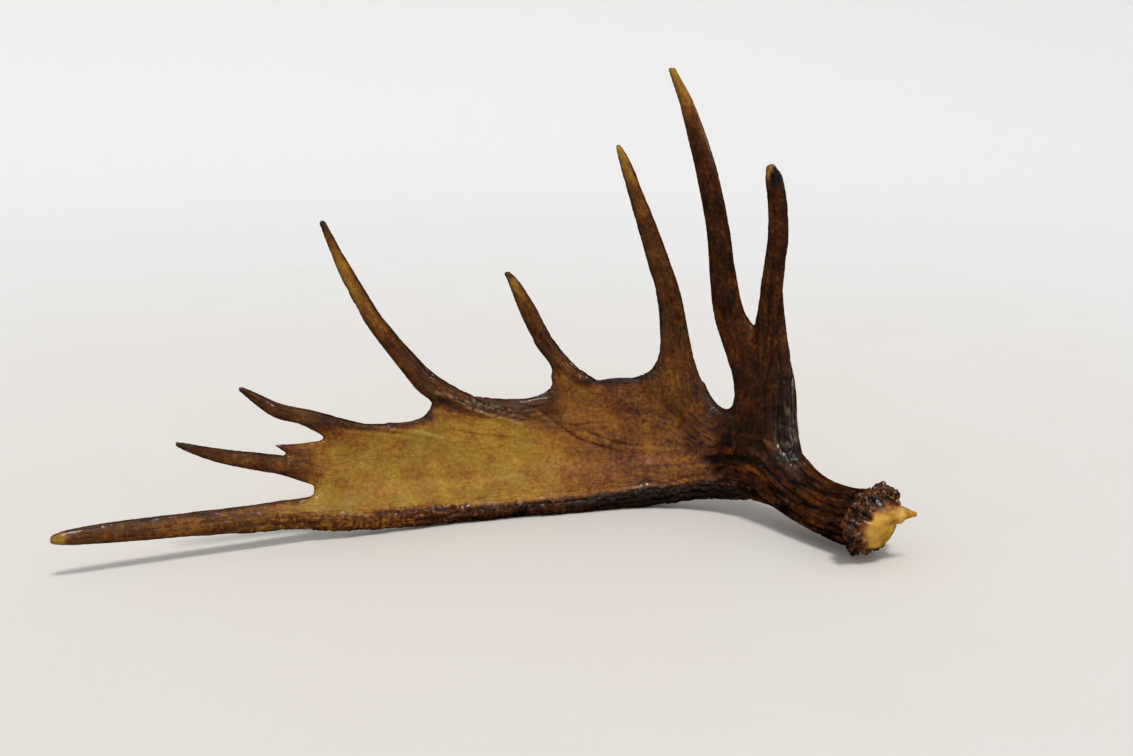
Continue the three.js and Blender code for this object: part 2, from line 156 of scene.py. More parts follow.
def grow_limb(name, rows, depth=palm_depth, power=2.0, cup=0.0, flutes=0.0, parent=None, meet=0.15, sides=56):
    """Grows one limb and keeps its skin, its middle line and its own directions under its name.

    A power over 2 squares the ovals off, cup bows them back, and flutes furrows them lengthwise. The grain
    runs on from the parent limb, from the share meet of this limb's own length.
    """
    first, second, half = [], [], []
    for x1, z1, x2, z2, *rest in rows:
        forward = rest[0] if rest else 0
        a = np.array([x1, float(depth(np.array(x1, float), z1)) - forward, z1])
        b = np.array([x2, float(depth(np.array(x2, float), z2)) - forward, z2])
        oval = BROAD_HALF * (1 - np.exp(-np.linalg.norm(b - a) / 24))
        first.append(a)
        second.append(b)
        half.append([rest[1] if len(rest) > 1 else oval])
    length = np.linalg.norm(np.diff((np.array(first) + second) / 2, axis=0), axis=1).sum()
    t = np.linspace(0, 1, max(12, int(length / RING_STEP)))

    def middle(at):
        return (through(first, at) + through(second, at)) / 2

    along = middle(np.minimum(t + 0.01, 1)) - middle(np.maximum(t - 0.01, 0))
    along /= np.linalg.norm(along, axis=1)[:, None]
    across = (through(second, t) - through(first, t)) / 2
    normal = np.cross(along, across)
    normal /= np.linalg.norm(normal, axis=1)[:, None]
    back = np.where(normal[:, 1] > 0, 1.0, -1.0)
    deep = through(half, t)[:, 0]
    mid = middle(t)
    run = np.concatenate([[0], np.cumsum(np.linalg.norm(np.diff(mid, axis=0), axis=1))])

    # The ends are rounded over in a few rings.
    order = [(0, -s) for s in (1.0, 0.9, 0.7, 0.4)]
    order += [(k, 0.0) for k in range(len(t))]
    order += [(len(t) - 1, s) for s in (0.4, 0.7, 0.9, 1.0)]
    ring = np.array([k for k, s in order])
    bulge = np.array([s for k, s in order])
    shrink = np.sqrt(1 - bulge**2)[:, None]
    angle = np.arange(sides) / sides * 2 * np.pi
    flute = 1 + 0.045 * flutes * np.cos(9 * angle[None, :] + 3 * t[ring][:, None])
    u = -np.sign(np.cos(angle)) * np.abs(np.cos(angle)) ** (2 / power) * flute * shrink
    v = np.sign(np.sin(angle)) * np.abs(np.sin(angle)) ** (2 / power) * flute * shrink
    width = np.linalg.norm(across, axis=1)
    cap = 0.3 * np.minimum(deep, width) + 2.0 * (t > 0.5)
    skin = mid[ring][:, None, :] + across[ring][:, None, :] * u[:, :, None]
    lift = v * deep[ring][:, None] + back[ring][:, None] * cup * (1 - u * u) * shrink
    skin = skin + normal[ring][:, None, :] * lift[:, :, None]
    skin = skin + (along * cap[:, None])[ring][:, None, :] * bulge[:, None, None]
    limbs[name] = {
        "skin": skin.reshape(-1, 3), "quads": ring_faces(len(ring), sides), "ring": ring, "sides": sides,
        "mid": mid, "along": along, "side": across / width[:, None], "normal": normal * back[:, None],
        "run": run, "parent": parent, "meet": meet,
    }


# The beam: a thick round stem, deeply furrowed along its length, between the burr and the fork.
grow_limb("beam", [
    [304, 7, 322, 73, 0, 27], [288, 7.5, 304, 67, 0, 26], [271, 9, 284, 66, 0, 26],
    [254, 13.5, 266, 71.5, 0, 27], [236, 19.5, 252.5, 86, 0, 27], [213, 23, 242, 104, 0, 25],
    [180, 20, 216, 110, 0, 19.5], [150, 18, 184, 104, -2, 9],
], flutes=1, sides=90)

# The palm: a thin cupped plate with a thick lower rim rolled forward of it.
PALM_HALF = 6.2
grow_limb("palm", [
    [198, 24, 206, 110, 0, 17], [165, 18, 180, 115, 0, 14.5], [130, 12, 148, 124, 0, 10],
    [96, 8, 106, 144, 0, 7.5], [52, 6, 60, 149, 0, PALM_HALF], [-1, 6, 6, 143, 0, PALM_HALF],
    [-64, 6, -61, 128, 0, PALM_HALF], [-120, 7, -113, 122, 0, PALM_HALF],
    [-174, 9, -171, 116, 0, PALM_HALF], [-222, 12, -220, 112, 0, PALM_HALF], [-254, 15, -254, 104, 0, 6],
    [-270, 24, -270, 93, 0, 5.5],
], power=2.7, cup=5, sides=150, parent="beam")
grow_limb("rim", [
    [206, 20, 210, 60, 0, 19], [176, 15.5, 178, 52, 3, 17], [146, 11, 148, 46, 3, 15.5],
    [106, 3, 108, 36, 3, 14.5], [62, -0.6, 62, 30, 3, 13.5], [0, -0.6, 0, 28, 3, 13],
    [-60, -0.6, -60, 27, 3, 12.5], [-120, 1, -120, 28, 3, 12], [-175, 2.5, -175, 31, 3, 11.5],
    [-228, 6.5, -227, 36, 3, 11.5], [-262, 10.5, -261, 41, 0.5, 9.5], [-290, 16, -290, 45, 0, 7],
], parent="beam", meet=0.05)
grow_limb("slope", [
    [160, 14, 164, 74, 1, 15], [106, 8, 108, 66, 1, 12.5], [62, 6, 62, 62, 1, 12], [0, 5, 0, 60, 1, 12],
    [-60, 5, -60, 58, 1, 11.5], [-120, 6, -120, 56, 1, 11], [-175, 8, -175, 54, 1, 10],
    [-228, 12, -227, 52, 0.5, 9], [-262, 16, -262, 50, 0, 6],
], power=1.35, parent="rim", meet=0.05)
RIB_REACH = 12  # from a rib's middle line to its edge
rib_lines = [
    [[185, 62], [130, 84], [80, 104], [40, 118]],
    [[190, 54], [120, 68], [40, 82], [-30, 97], [-84, 110]],
    [[120, 52], [40, 62], [-60, 76], [-140, 92], [-205, 102]],
    [[60, 44], [-60, 54], [-150, 64], [-240, 72]],
]
for number, line in enumerate(rib_lines):
    rows = []
    for k, (x, z) in enumerate(line):
        half = PALM_HALF + 2.6 if 0 < k < len(line) - 1 else PALM_HALF - 1.6
        rows.append([x, z - RIB_REACH, x, z + RIB_REACH, -4, half])
    grow_limb(f"rib_{number}", rows, parent="palm")
grow_limb("nub", [
    [-236, 80, -236, 107, -4, 4.5], [-262, 90, -262, 106.5, -1.5, 5], [-284, 94, -284, 107],
    [-298, 97, -298, 108], [-310, 105.5, -310, 109.5],
], parent="palm")

# The palm's tines, counted from the fork, and the long one that ends its lower rim.
grow_limb("tine_1", [
    [160, 48, 208, 44, -3, 6], [136, 78, 206, 68, -3, 8.5], [110, 110, 194, 96, -2, 9],
    [92, 136, 178, 113, 0, 10], [98, 154, 159, 139], [106, 171, 147, 169], [107, 203, 139, 204],
    [103, 243, 130, 246, 2], [87, 297, 111, 301, 5], [71, 353, 88, 358, 8], [58.5, 396, 69.5, 400, 12],
    [53.5, 415, 59.5, 417.5, 14],
], parent="palm", meet=0.2)
grow_limb("tine_2", [
    [38, 52, 85, 61, -5, 4.5], [4, 89, 64, 99, -4.5, 5.8], [-20, 122, 40, 141, -2, 7.5],
    [-14, 141, 24, 155, 0, 9], [-17, 164, 6, 170], [-35, 193, -15, 199, 2], [-53, 234, -37, 241, 5],
    [-64.5, 266, -55, 272, 8], [-69, 276, -62, 279, 8],
], parent="palm", meet=0.25)
grow_limb("tine_3", [
    [-70, 78, -8, 92, -5, 4.5], [-128, 104, -46, 119, -4, 6], [-152, 118, -88, 132, -1, 8],
    [-150, 134, -119, 147], [-166, 152, -147, 168], [-191, 190, -173, 199, 3], [-218, 235, -201, 241, 7],
    [-239, 285, -226, 290, 11], [-250, 320, -240, 323, 14], [-257, 346, -251, 348.5, 16],
], parent="palm", meet=0.15)
grow_limb("tine_4", [
    [-163, 80, -141, 108, -5, 4.5], [-216, 88, -189, 115, -4, 6], [-252, 97, -226, 122, -1, 7.5],
    [-265, 113, -251, 132], [-286, 128, -280, 144, 1], [-311, 139, -304, 153, 3],
    [-332, 159, -325, 167, 6], [-344, 173, -340, 177, 8],
], parent="palm", meet=0.15)
grow_limb("tine_5", [
    [-212, 38, -206, 88, -5, 4.5], [-246, 46, -240, 94, -3.5, 5.5], [-276, 60, -273, 95, -1, 6.5],
    [-302, 74, -300, 96], [-332, 85, -329, 104, 1], [-365, 98, -362, 113, 4], [-392, 113, -391, 123.5, 7],
    [-404.5, 122, -403.5, 127.5, 8],
], parent="palm", meet=0.15)
grow_limb("tine_end", [
    [-206, 5, -206, 38], [-258, 11, -257, 42], [-298, 16.5, -298, 49], [-347, 20.5, -347, 48.5],
    [-395, 25, -395, 50.5], [-450, 29.5, -450, 51.5], [-486, 32.5, -486, 51.5], [-512, 36, -511, 50],
    [-520, 38, -519.5, 47.5],
], parent="rim", meet=0.1)

# The bone rounds out the bays between the tines.
bays = [
    [[-258, 88, -294, 73.5, 0, 5.5], [-248, 72, -276, 66.5, 0, 5.5], [-244, 58, -269, 58.5, 0, 5.5],
     [-248, 46, -275, 50.5, 0, 6], [-258, 34, -292, 48, 0, 7]],
    [[-262, 134, -284, 128.5, 0, 4.5], [-250, 124, -268, 120, 0, 5], [-246, 113, -262, 113.5, 0, 5],
     [-250, 103, -266, 108, 0, 5], [-262, 100, -280, 107.5, 0, 4.5]],
    [[-200, 118.5, -192, 98, 0, 5.5], [-176, 117, -166, 94, 0, 6], [-160, 121, -140, 102, 0, 6.5],
     [-152, 129.5, -128, 120, 0, 7], [-151, 141, -126, 143, 0, 7.5], [-156, 150, -138, 158, 0, 6]],
    [[-112, 141, -106, 118, 0, 5.5], [-90, 135.5, -86, 110, 0, 6], [-64, 132.5, -62, 106, 0, 6],
     [-42, 132.5, -38, 106, 0, 6], [-25, 136.5, -10, 112, 0, 6.5], [-16, 145, 8, 130, 0, 7],
     [-17, 156, 4, 156, 0, 6.5]],
    [[66, 147.5, 68, 124, 0, 6], [82, 149.5, 92, 126, 0, 6.5], [95, 155, 112, 138, 0, 7.5],
     [104, 166, 128, 156, 0, 8.5], [107.5, 180, 132, 178, 0, 8]],
    [[158, 145, 140, 128, 0, 8], [167, 127.5, 152, 106, 0, 10], [176, 118.5, 172, 96, 0, 11.5],
     [184, 117, 192, 95, 0, 12.5], [190, 122.5, 210, 108, 0, 13], [192.5, 136, 214, 132, 0, 12]],
]
for number, rows in enumerate(bays):
    grow_limb(f"bay_{number}", rows, parent="palm")

# The brow branch: a small thick palm with a tall tine and a short one that broke and healed hollow.
grow_limb("brow", [
    [207, 46, 258, 77, 0, 22], [198, 68, 255.5, 92, 0, 21], [193, 93, 254, 115, 0, 20],
    [192.5, 115, 254, 139, 0, 18], [192, 137, 252, 158, 0, 16], [189, 158, 250, 172, 0, 13.5],
    [183, 175, 248, 181, 0, 10.5], [180, 188, 245, 192, 0, 5],
], depth=brow_depth, power=2.4, parent="beam", meet=0.1, sides=90)
grow_limb("tine_tall", [
    [197, 108, 236, 116], [193, 129, 234, 136], [187, 163, 226, 171], [175, 198, 216, 206],
    [166, 229, 198, 235], [161, 266, 189, 271], [157, 312, 181, 316], [148, 361, 171, 365],
    [136, 412, 156, 415], [122, 463, 136, 466], [110, 498, 116.5, 500.5],
], depth=brow_depth, parent="brow", meet=0.2)
grow_limb("tine_short", [
    [206, 108, 250, 118], [206, 131, 252, 140], [207, 169, 250, 175], [209, 202, 244, 208],
    [213, 248, 238, 251], [216, 285, 238, 287], [219, 321, 240, 323], [218, 357, 237, 361],
    [214, 383, 231, 388], [213.5, 395, 222.5, 400],
], depth=brow_depth, parent="brow", meet=0.2)

# ---- The bone: one skin over every limb ----
# The antler is a single grown bone. Its limbs fuse without a seam, with soft hollows where they meet, and the
# velvet's blood vessels leave furrows that run lengthwise, deep on the beam and faint on the palm.

BONE_GRAIN = 0.0019  # the skin's own fineness, in metres


def mesh_from(name, points, faces):
    mesh = bpy.data.meshes.new(name)
    mesh.from_pydata([tuple(p) for p in points], [], faces)
    mesh.update()
    return mesh


def put_in(name, data):
    """A new object in the scene."""
    thing = bpy.data.objects.new(name, data)
    bpy.context.scene.collection.objects.link(thing)
    return thing


def with_modifier(mesh, kind, **settings):
    """The mesh as one of Blender's modifiers leaves it."""
    holder = put_in("holder", mesh)
    change = holder.modifiers.new(kind.lower(), kind)
    for key, value in settings.items():
        setattr(change, key, value)
    made = bpy.data.meshes.new_from_object(holder.evaluated_get(bpy.context.evaluated_depsgraph_get()))
    bpy.data.objects.remove(holder)
    return made


def fuse(name, shells, fineness):
    """One closed skin round overlapping shells, which are given in plan millimetres."""
    points, faces, start = [], [], 0
    for shell_points, shell_faces in shells:
        points.append(shell_points)
        faces += [tuple(start + k for k in face) for face in shell_faces]
        start += len(shell_points)
    raw = mesh_from(name, np.vstack(points) / 1000, faces)
    return with_modifier(raw, "REMESH", mode="VOXEL", voxel_size=fineness)


def read_rows(things, name, width, kind=np.float32):
    flat = np.empty(len(things) * width, kind)
    things.foreach_get(name, flat)
    return flat.reshape(-1, width)


def read_points(mesh):
    return read_rows(mesh.vertices, "co", 3).astype(float) * 1000


def write_points(mesh, points):
    mesh.vertices.foreach_set("co", (points / 1000).astype(np.float32).ravel())
    mesh.update()


def read_normals(mesh, points):
    write_points(mesh, points)
    return read_rows(mesh.vertex_normals, "vector", 3).astype(float)


def read_edges(mesh):
    return read_rows(mesh.edges, "vertices", 2, np.int32)


def neighbours_mean(values, edges):
    """Each point's mean over its neighbours."""
    values = values.reshape(len(values), -1)
    count = np.bincount(edges.ravel(), minlength=len(values))[:, None]
    total = np.stack([
        np.bincount(edges[:, 0], values[edges[:, 1], k], len(values))
        + np.bincount(edges[:, 1], values[edges[:, 0], k], len(values))
        for k in range(values.shape[1])
    ], axis=1)
    return total / np.maximum(count, 1)


def soften(values, edges, rounds):
    shape = values.shape
    for _ in range(rounds):
        values = 0.5 * values.reshape(len(values), -1) + 0.5 * neighbours_mean(values, edges)
    return values.reshape(shape)


def rub_smooth(points, edges, rounds):
    """Takes off the small steps and keeps the thickness."""
    for _ in range(rounds):
        points = points + 0.5 * (neighbours_mean(points, edges) - points)
        points = points - 0.52 * (neighbours_mean(points, edges) - points)
    return points


bone_mesh = fuse("antler", [(limb["skin"], limb["quads"]) for limb in limbs.values()], BONE_GRAIN)
bone_edges = read_edges(bone_mesh)
bone = rub_smooth(read_points(bone_mesh), bone_edges, 8)

# New bone fills the sharp hollows between limbs.
FILL_ROUNDS = 60
for _ in range(FILL_ROUNDS):
    way = neighbours_mean(bone, bone_edges) - bone
    facing = read_normals(bone_mesh, bone)
    out = np.maximum((way * facing).sum(1), 0)[:, None]
    bone = bone + 0.6 * out * facing
bone = rub_smooth(bone, bone_edges, 3)


def place_on(limb, ring, points):
    """Across, into and along a limb, in millimetres, for points near the given rings."""
    away = points - limb["mid"][ring]
    across = (away * limb["side"][ring]).sum(1)
    into = (away * limb["normal"][ring]).sum(1)
    along = limb["run"][ring] + (away * limb["along"][ring]).sum(1)
    return np.stack([across, into, along], 1) + limb["start"]


# The grain follows each limb, and turns smoothly from one into the next where they meet.
for name, limb in limbs.items():
    limb["start"] = np.zeros(3)
    if limb["parent"]:
        host = limbs[limb["parent"]]
        own_ring = int(limb["meet"] * (len(limb["mid"]) - 1))
        meeting = limb["mid"][own_ring]
        host_ring = np.array([np.argmin(((host["mid"] - meeting) ** 2).sum(1))])
        on_host = place_on(host, host_ring, meeting[None])[0]
        limb["start"] = on_host - place_on(limb, np.array([own_ring]), meeting[None])[0]

GRAIN_REACH = 9  # the fused skin lies no farther than this from the skins of the limbs it belongs to
GRAIN_FADE = 2.6  # a limb's share in it fades over this distance
grain = np.zeros((len(bone), 3))
belonging = {}
total_weight = np.full(len(bone), 1e-9)
for name, limb in limbs.items():
    if name.startswith("bay"):
        continue
    tree = BVHTree.FromPolygons([Vector(p) for p in limb["skin"]], limb["quads"])
    low, high = limb["skin"].min(0) - GRAIN_REACH, limb["skin"].max(0) + GRAIN_REACH
    near = np.flatnonzero(((bone > low) & (bone < high)).all(1))
    weight = np.zeros(len(bone))
    ring = np.zeros(len(bone), int)
    for k in near:
        found = tree.find_nearest(Vector(bone[k]), GRAIN_REACH)
        if found[0] is not None:
            weight[k] = np.exp(-((found[3] / GRAIN_FADE) ** 2))
            ring[k] = limb["ring"][found[2] // limb["sides"]]
    touched = np.flatnonzero(weight > 1e-6)
    weight[weight <= 1e-6] = 0
    belonging[name] = weight
    grain[touched] += weight[touched][:, None] * place_on(limb, ring[touched], bone[touched])
    limb["ring_of"] = ring
    total_weight += weight
grain /= total_weight[:, None]
grain = soften(grain, bone_edges, 6)
for name in belonging:
    belonging[name] = soften(belonging[name] / total_weight, bone_edges, 6)


def keep_value(mesh, name, values):
    layer = mesh.attributes.new(name, "FLOAT", "POINT")
    layer.data.foreach_set("value", np.asarray(values, np.float32))


def kept_value(mesh, name):
    """Takes a kept value back off a skin."""
    values = np.empty(len(mesh.vertices), np.float32)
    mesh.attributes[name].data.foreach_get("value", values)
    mesh.attributes.remove(mesh.attributes[name])
    return values.astype(float)


# The skin gets finer faces for its furrows, and each point takes its grain and limbs along.
share_along = {}
for name in belonging:
    keep_value(bone_mesh, "belonging " + name, belonging[name])
    run = limbs[name]["run"]
    keep_value(bone_mesh, "share " + name, run[limbs[name]["ring_of"]] / run[-1])
for axis in range(3):
    keep_value(bone_mesh, f"grain {axis}", grain[:, axis])
write_points(bone_mesh, bone)
bone_mesh = with_modifier(bone_mesh, "SUBSURF", levels=1, render_levels=1)
for name in belonging:
    belonging[name] = kept_value(bone_mesh, "belonging " + name)
    share_along[name] = kept_value(bone_mesh, "share " + name)
grain = np.stack([kept_value(bone_mesh, f"grain {axis}") for axis in range(3)], axis=1)
bone_edges = read_edges(bone_mesh)
bone = read_points(bone_mesh)
facing = read_normals(bone_mesh, bone)
x_plan, z_plan = bone[:, 0], bone[:, 2]

stem = belonging["beam"]
brow = belonging["brow"] + belonging["tine_tall"] + belonging["tine_short"]
plate = belonging["palm"] + sum(belonging[f"rib_{k}"] for k in range(4))
above_rim = ease(z_plan, 24, 40)
rim = belonging["rim"] + belonging["slope"] * (1 - above_rim)
plate = plate + belonging["slope"] * above_rim
PALM_TINES = ["tine_1", "tine_2", "tine_3", "tine_4", "tine_5", "tine_end"]
tines = sum(belonging[name] for name in PALM_TINES)
frontal = ease(-facing[:, 1], -0.2, 0.4)


def noise_at(places, across, along, seed):
    """Noise that is stretched along the grain: its size across and along, in millimetres."""
    scaled = places / np.array([across, across, along]) + seed * 17.3
    return np.array([noise.noise(Vector(p)) for p in scaled])


def along_line(line, width, face="front"):
    """1 on a line drawn on the palm as [x, z] points, fading to 0 over its width and at its ends."""
    nearest = np.full(len(bone), 1e9)
    share = np.zeros(len(bone))
    line = np.array(line, float)
    for k in range(len(line) - 1):
        start, way = line[k], line[k + 1] - line[k]
        t = np.clip(((x_plan - start[0]) * way[0] + (z_plan - start[1]) * way[1]) / (way @ way), 0, 1)
        away = np.hypot(x_plan - start[0] - t * way[0], z_plan - start[1] - t * way[1])
        share = np.where(away < nearest, (k + t) / (len(line) - 1), share)
        nearest = np.minimum(nearest, away)
    side = {"front": ease(-facing[:, 1], 0.1, 0.6), "back": ease(facing[:, 1], 0.1, 0.6), "both": 1.0}[face]
    return np.exp(-((nearest / width) ** 2)) * side * ease(share, 0, 0.2) * (1 - ease(share, 0.8, 1))


# Furrows: narrow grooves between rounded ridges, deep on the beam and faint on the palm.
edge_on = soften(1 - ease(np.abs(facing[:, 1]), 0.3, 0.85), bone_edges, 20)
brink = edge_on * ease(150 - x_plan, 0, 60) * (1 - 0.6 * ease(-230 - x_plan, 0, 20))
shoulder = np.interp(
    x_plan, [-450, -300, -229, -160, -86, -37, 62, 122, 176], [53, 39, 28, 26, 20, 20, 22, 30, 40],
)
under = ease(shoulder - z_plan, -3, 4) * ease(x_plan, -400, -280) * (1 - ease(x_plan, 185, 225))
brow_outer = ease(x_plan + 0.1 * z_plan, 228, 256)
brow_edge = belonging["brow"] * brow_outer
fork = ease(x_plan, 70, 150) * ease(110 - z_plan, -20, 30) * np.clip(plate + rim, 0, 1)
furrow_depth = 0.10 * plate + 1.25 * stem + 0.4 * rim + 0.5 * under + 0.6 * brink + 0.5 * fork
furrow_depth += 0.4 * belonging["brow"] + 1.0 * brow_edge + 0.8 * belonging["tine_short"]
furrow_depth += 0.5 * belonging["tine_tall"] * (1 - ease(share_along["tine_tall"], 0.45, 0.9))
for name in PALM_TINES:
    furrow_depth += 0.38 * belonging[name] * (1 - 0.7 * ease(share_along[name], 0.5, 1))
wander = grain.copy()
wander[:, 0] += 3.0 * noise_at(bone, 24, 24, 11)
wander[:, 1] += 3.0 * noise_at(bone, 24, 24, 12)
wide_swell = noise_at(wander, 9.5, 120.0, 1)
fine_swell = noise_at(wander, 4.6, 55.0, 2)
broken = ease(noise_at(bone, 13, 13, 13), -0.25, 0.12)
wide_groove = np.exp(-((wide_swell / 0.12) ** 2)) * (0.75 + 0.25 * broken)
fine_groove = np.exp(-((fine_swell / 0.14) ** 2)) * (1 - 0.6 * broken)
groove = 0.65 * wide_groove + 0.35 * fine_groove
furrow = 0.9 * np.abs(wide_swell) + 0.3 * np.abs(fine_swell) - groove

# Beside the fork the streaks run in close fine arcs. Between two tines a band of the palm is streaked too.
hub = np.exp(-(((x_plan - 190) / 48) ** 2) - ((z_plan - 84) / 36) ** 2) * frontal
band_foot = np.interp(x_plan, [-151, -94, -41, 10, 40], [148, 113, 101, 90, 80])
band = ease(z_plan - band_foot, -4, 8) * ease(x_plan, -152, -128) * (1 - ease(x_plan, -25, 20)) * (1 - tines)
furrow_depth = furrow_depth * (1 - 0.5 * hub) + 0.6 * band

# The velvet's vessels left raised lines with furrows beside them, running out to the tines. A line is given
# as its height, its width and its [x, z] points.
vessels = [
    (1.5, 2.6, [[-151, 149], [-135, 144], [-94, 120], [-41, 99]]),
    (1.0, 2.4, [[-128, 146], [-80, 130], [-30, 112], [-8, 96]]),
    (1.2, 2.4, [[-263, 131], [-215, 117], [-159, 104], [-130, 92]]),
    (0.9, 2.4, [[-250, 120], [-205, 108], [-165, 98]]),
    (0.7, 1.6, [[-158, 128], [-140, 126], [-118, 120]]),
    (0.6, 3.4, [[22, 108], [34, 92], [54, 70]]),
    (0.5, 2.0, [[60, 72], [100, 66], [140, 68]]),
    (0.8, 3.4, [[90, 50], [145, 60], [182, 74], [206, 83], [232, 75]]),
    (0.9, 3.4, [[100, 42], [142, 47], [178, 58], [208, 63], [236, 52]]),
    (0.9, 3.2, [[140, 80], [186, 95], [213, 98], [236, 88]]),
    (-1.1, 1.4, [[-80, 137], [-33, 120], [-11, 102], [14, 82], [40, 72], [70, 62]]),
    (-0.9, 1.3, [[20, 92], [54, 76], [90, 68]]),
    (-0.7, 1.2, [[-60, 118], [-20, 104], [10, 98], [60, 100]]),
    (-0.6, 1.2, [[50, 130], [80, 110], [95, 90]]),
    (-0.7, 1.3, [[-140, 108], [-100, 96], [-50, 88]]),
    (-1.0, 3.0, [[90, 46], [142, 54], [180, 67], [207, 74], [234, 64]]),
]
vessel_height = sum(height * along_line(line, width) for height, width, line in vessels)
back_vessels = [
    (-1.4, 2.2, [[150, 70], [100, 92], [40, 104], [-10, 128]]),
    (-1.3, 2.2, [[140, 58], [60, 70], [-40, 82], [-120, 108]]),
    (-1.1, 2.0, [[-40, 82], [-130, 78], [-215, 98]]),
    (-1.1, 2.0, [[40, 42], [-80, 46], [-190, 56], [-260, 74]]),
    (1.0, 3.0, [[150, 78], [100, 100], [50, 116]]),
    (1.0, 3.0, [[120, 48], [30, 56], [-90, 62], [-180, 70]]),
]
vessel_height += sum(height * along_line(line, width, "back") for height, width, line in back_vessels)


def spot(x, z, across, high):
    """1 in the middle of an oval spot on the front face, fading to 0 past its edge."""
    away = ((x_plan - x) / across) ** 2 + ((z_plan - z) / high) ** 2
    return np.exp(-(away**1.5)) * frontal


knob = spot(178, 243, 8, 9) * belonging["tine_tall"]
healed_hole = spot(223.5, 388, 5.0, 8.5) * belonging["tine_short"]
hole_lip = spot(219, 392, 6, 10) * belonging["tine_short"] * ease(222 - x_plan + 0.5 * (z_plan - 388), 0, 6)
lumps = noise_at(bone, 26, 26, 3)
small_lumps = noise_at(bone, 8, 8, 4)
grit = noise_at(bone, 3.4, 3.4, 5)
swell = 1.3 * furrow_depth * furrow + vessel_height + (0.35 + 0.7 * under + 0.5 * rim) * lumps
swell += (0.10 + 0.5 * under + 0.15 * rim + 0.2 * fork) * small_lumps
swell += (0.07 + 0.55 * under + 0.25 * rim + 0.2 * fork + 0.25 * stem + 0.2 * brow + 0.12 * tines) * grit
swell += 1.8 * knob - 3.2 * healed_hole
bone = bone + facing * swell[:, None]

# The antler is worn flat where it rests, and no bump of its skin stands past the solid's own box.
cad_low = (np.array(cad_box[0]) * 1000 - FOOT)[None, :]
cad_high = (np.array(cad_box[1]) * 1000 - FOOT)[None, :]
bone = np.clip(bone, cad_low, cad_high)

# ---- The bone's colour ----
# Stained by bark and earth, then clear-varnished: ochre in the palm's hollow, red-brown at the fork, nearly
# black in the beam's furrows and along the rims, and worn pale at some tips. Some light is painted in too:
# painted shade on side-on edges and below the rim's shoulder, and painted highlights on raised vessel lines
# and some ridges. Shade runs from 0, pale, to 1, black, and a tine's shades are given as [share of its
# length, shade].

tine_shades = {
    "tine_1": [(0.0, 0.56), (0.3, 0.60), (0.42, 0.70), (0.75, 0.66), (0.85, 0.55),
               (0.92, 0.40), (1.0, 0.22)],
    "tine_2": [(0.0, 0.34), (0.36, 0.46), (0.6, 0.70), (0.75, 0.68), (0.85, 0.52),
               (0.93, 0.40), (0.97, 0.5), (1.0, 0.8)],
    "tine_3": [(0.0, 0.30), (0.25, 0.48), (0.4, 0.70), (0.55, 0.66), (0.65, 0.50),
               (0.75, 0.42), (0.92, 0.44), (1.0, 0.8)],
    "tine_4": [(0.0, 0.30), (0.35, 0.46), (0.6, 0.62), (0.9, 0.66), (1.0, 0.76)],
    "tine_5": [(0.0, 0.32), (0.3, 0.46), (0.5, 0.64), (0.9, 0.70), (1.0, 0.80)],
    "nub": [(0.0, 0.32), (0.6, 0.48), (1.0, 0.66)],
    "tine_end": [(0.0, 0.34), (0.3, 0.40), (0.5, 0.56), (0.8, 0.62),
                 (0.95, 0.64), (0.975, 0.26), (1.0, 0.32)],
    "tine_tall": [(0.0, 0.70), (0.3, 0.70), (0.5, 0.78), (0.7, 0.74), (0.8, 0.65),
                  (0.88, 0.56), (0.94, 0.45), (1.0, 0.28)],
    "tine_short": [(0.0, 0.74), (0.9, 0.78), (1.0, 0.72)],
}
toward_fork = x_plan + 0.35 * (z_plan - 80) * ease(x_plan, -60, 20)
palm_shade = np.interp(toward_fork, [-260, -60, -15, 30, 60, 90, 130, 165, 190],
                       [0.33, 0.35, 0.42, 0.52, 0.55, 0.54, 0.54, 0.67, 0.77])
shade = (plate + rim) * palm_shade
shade += stem * np.interp(x_plan, [170, 215, 260], [0.79, 0.82, 0.82])
shade += belonging["brow"] * (0.77 + 0.14 * brow_outer)
for name, marks in tine_shades.items():
    shade += belonging[name] * np.interp(share_along[name], [m[0] for m in marks], [m[1] for m in marks])

# The thin bone between two tines is darker along its edge. The palm's edges and tines are darkened too where
# their surface turns side-on to the front, which is painted shade. A line is given as its width and its
# points.
web_lines = [
    (6, [[-164, 152], [-151, 143], [-120, 137], [-90, 131], [-60, 129], [-30, 131], [-6, 150]]),
    (9, [[-158, 160], [-140, 142], [-110, 129], [-80, 123], [-50, 122], [-22, 130], [-8, 158]]),
    (8, [[-290, 138], [-262, 131], [-220, 119], [-180, 114], [-156, 122], [-148, 150]]),
    (5, [[-10, 172], [14, 150], [40, 146], [72, 147], [100, 152], [108, 190]]),
    (8, [[132, 190], [150, 138], [168, 118], [184, 112], [200, 112], [212, 140]]),
]
webs = np.zeros(len(bone))
for width, line in web_lines:
    webs = np.maximum(webs, along_line(line, width, "both"))
shade += 0.36 * np.maximum(brink, webs) * (1 - ease(shade, 0.45, 0.74))
# Painted shade: the tines are darker where their surface turns side-on to the front.
shade += 0.13 * edge_on * tines
# The band below the rim's shoulder is darker: partly the rim's own darker stain, partly painted shade where
# the rim turns down.
under_shade = np.interp(x_plan, [-380, -260, -100, 60, 150], [0.14, 0.26, 0.40, 0.45, 0.40])
shade += under * (under_shade * (1 - ease(shade, 0.5, 0.95)))
groove_shade = 0.26 * (groove - 0.3) * np.minimum(furrow_depth, 1.1)
groove_shade -= 0.12 * np.abs(wide_swell) * stem * (1 - hub)
groove_shade -= 0.10 * np.clip(wide_swell, 0, 0.4) * hub
shade += groove_shade
shade += hub * (0.11 + 0.16 * (fine_groove - 0.3))
